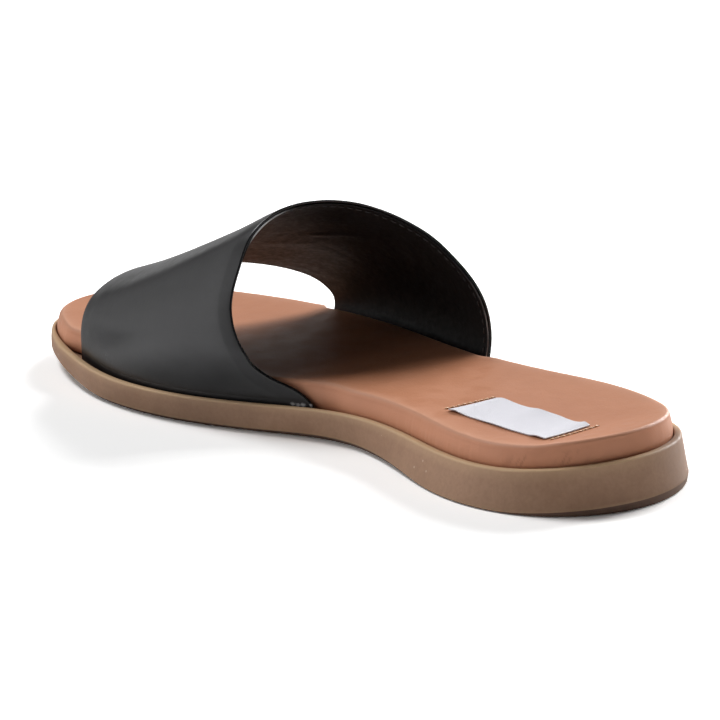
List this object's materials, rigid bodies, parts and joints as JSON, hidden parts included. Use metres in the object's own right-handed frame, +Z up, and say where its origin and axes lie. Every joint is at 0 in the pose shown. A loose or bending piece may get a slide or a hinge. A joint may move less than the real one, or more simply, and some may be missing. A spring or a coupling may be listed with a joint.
{
  "type": "slide sandal",
  "caption": "Flat slide sandal for the right foot: moulded sole with a raised lip, padded wrapped footbed and a broad leather band over the foot, open at toe and heel.",
  "frame": {"origin": "on the floor, under the middle of the shoe's bounding box", "axes": "+Z up, heel towards +Y and toe towards -Y, inner (big toe) side towards +X"},
  "size_m": [0.093, 0.259, 0.0649],
  "materials": {
    "sole": "matt moulded gum-tan rubber",
    "footbed": "smooth tan wrapped footbed, fine grain, semi-matt",
    "band": "smooth black leather with a soft shine and a black lining"
  },
  "bodies": {
    "root": {"outsole": "sole", "footbed": "footbed", "upper_band": "band"}
  },
  "joints": []
}
